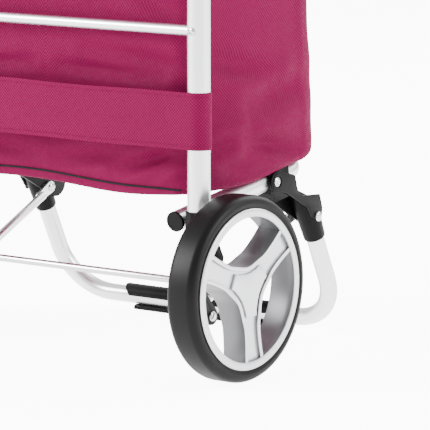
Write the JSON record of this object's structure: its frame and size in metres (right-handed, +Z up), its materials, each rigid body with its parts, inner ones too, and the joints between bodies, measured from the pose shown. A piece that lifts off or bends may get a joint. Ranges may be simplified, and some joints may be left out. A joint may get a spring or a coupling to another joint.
{
  "type": "shopping trolley",
  "caption": "Folding upright shopping trolley with a fabric bag on an aluminium frame, spoked wheels and a hinged front foot.",
  "frame": {"origin": "middle of the footprint, on the ground", "axes": "+X to the right-hand side, +Y forward from the handle to the foot, +Z up"},
  "size_m": [0.573, 0.3958, 1.0315],
  "materials": {
    "aluminium": "satin anodised tube",
    "steel": "bright zinc-plated",
    "black_plastic": "fine matt moulding",
    "wheel_silver": "satin silver moulding",
    "tyre_rubber": "satin",
    "grip_foam": "closed-cell foam",
    "fabric": "plum Oxford-weave polyester",
    "webbing": "woven webbing"
  },
  "bodies": {
    "frame": {"post_right": "aluminium", "post_left": "aluminium", "post_collar_right": "black_plastic", "post_collar_left": "black_plastic", "wheel_bracket_right": "black_plastic", "wheel_bracket_left": "black_plastic", "platform_pin_right": "steel", "platform_pin_left": "steel", "axle_spacer_right": "black_plastic", "axle_spacer_left": "black_plastic", "axle_nut_right": "steel", "axle_nut_left": "steel", "crossbar_rivet_lower_right": "steel", "crossbar_rivet_lower_left": "steel", "crossbar_rivet_upper_right": "steel", "crossbar_rivet_upper_left": "steel", "strut_bolt_right": "steel", "strut_bolt_left": "steel", "hanging_loop_right": "webbing", "hanging_loop_left": "webbing", "crossbar_lower": "aluminium", "crossbar_upper": "aluminium", "handle_bow": "aluminium", "handle_grip": "grip_foam", "axle": "steel", "bag_shell": "fabric", "base_board": "black_plastic", "bag_band": "fabric", "bag_pocket": "fabric", "bag_strap": "webbing", "buckle_socket": "black_plastic"},
    "wheel_right": {"tyre_right": "tyre_rubber", "rim_right": "wheel_silver", "hub_bush_right": "black_plastic", "hub_cover_right": "wheel_silver"},
    "wheel_left": {"tyre_left": "tyre_rubber", "rim_left": "wheel_silver", "hub_bush_left": "black_plastic", "hub_cover_left": "wheel_silver"},
    "platform": {"platform_tube": "aluminium", "platform_cap_right": "black_plastic", "platform_cap_left": "black_plastic", "hinge_saddle_right": "black_plastic", "hinge_saddle_left": "black_plastic"},
    "leg": {"leg_tube": "aluminium", "foot_shoe": "black_plastic", "foot_screw": "steel", "leg_knuckle_right": "black_plastic", "leg_knuckle_left": "black_plastic", "leg_rivet_right": "steel", "leg_rivet_left": "steel", "sleeve_rivet_right": "steel", "sleeve_rivet_left": "steel"},
    "strut_right": {"strut_right": "aluminium", "strut_rivet_right": "steel"},
    "strut_left": {"strut_left": "aluminium", "strut_rivet_left": "steel"},
    "lid": {"lid": "fabric", "lid_strap": "webbing", "buckle_plug": "black_plastic"}
  },
  "joints": [
    {"name": "platform_fold", "type": "hinge", "parent": "frame", "child": "platform", "pos_m": [0, -0.1084, 0.1681], "axis": [1, 0, 0], "range_deg": [0, 66], "deforming": ["bag_shell", "base_board", "bag_band", "bag_pocket", "bag_strap", "buckle_socket", "lid", "lid_strap", "buckle_plug"]},
    {"name": "leg_fold", "type": "hinge", "parent": "platform", "child": "leg", "pos_m": [0, 0.0441, 0.1935], "axis": [1, 0, 0], "range_deg": [-83, 1]},
    {"name": "strut_right_fold", "type": "hinge", "parent": "frame", "child": "strut_right", "pos_m": [0.177, -0.0579, 0.057], "axis": [1, 0, 0], "range_deg": [-1, 50]},
    {"name": "strut_left_fold", "type": "hinge", "parent": "frame", "child": "strut_left", "pos_m": [-0.177, -0.0579, 0.057], "axis": [1, 0, 0], "range_deg": [-1, 50]},
    {"name": "wheel_right_spin", "type": "hinge", "parent": "frame", "child": "wheel_right", "pos_m": [0.2665, -0.0979, 0.1], "axis": [1, 0, 0], "continuous": true},
    {"name": "wheel_left_spin", "type": "hinge", "parent": "frame", "child": "wheel_left", "pos_m": [-0.2665, -0.0979, 0.1], "axis": [1, 0, 0], "continuous": true},
    {"name": "lid_open", "type": "hinge", "parent": "frame", "child": "lid", "pos_m": [0, -0.0934, 0.7765], "axis": [1, 0, 0], "range_deg": [0, 100]}
  ],
  "couplings": [
    {"joint": "leg_fold", "follows": "platform_fold", "ratio": -1.2506},
    {"joint": "strut_right_fold", "follows": "platform_fold", "ratio": 0.74852},
    {"joint": "strut_left_fold", "follows": "platform_fold", "ratio": 0.74852}
  ]
}
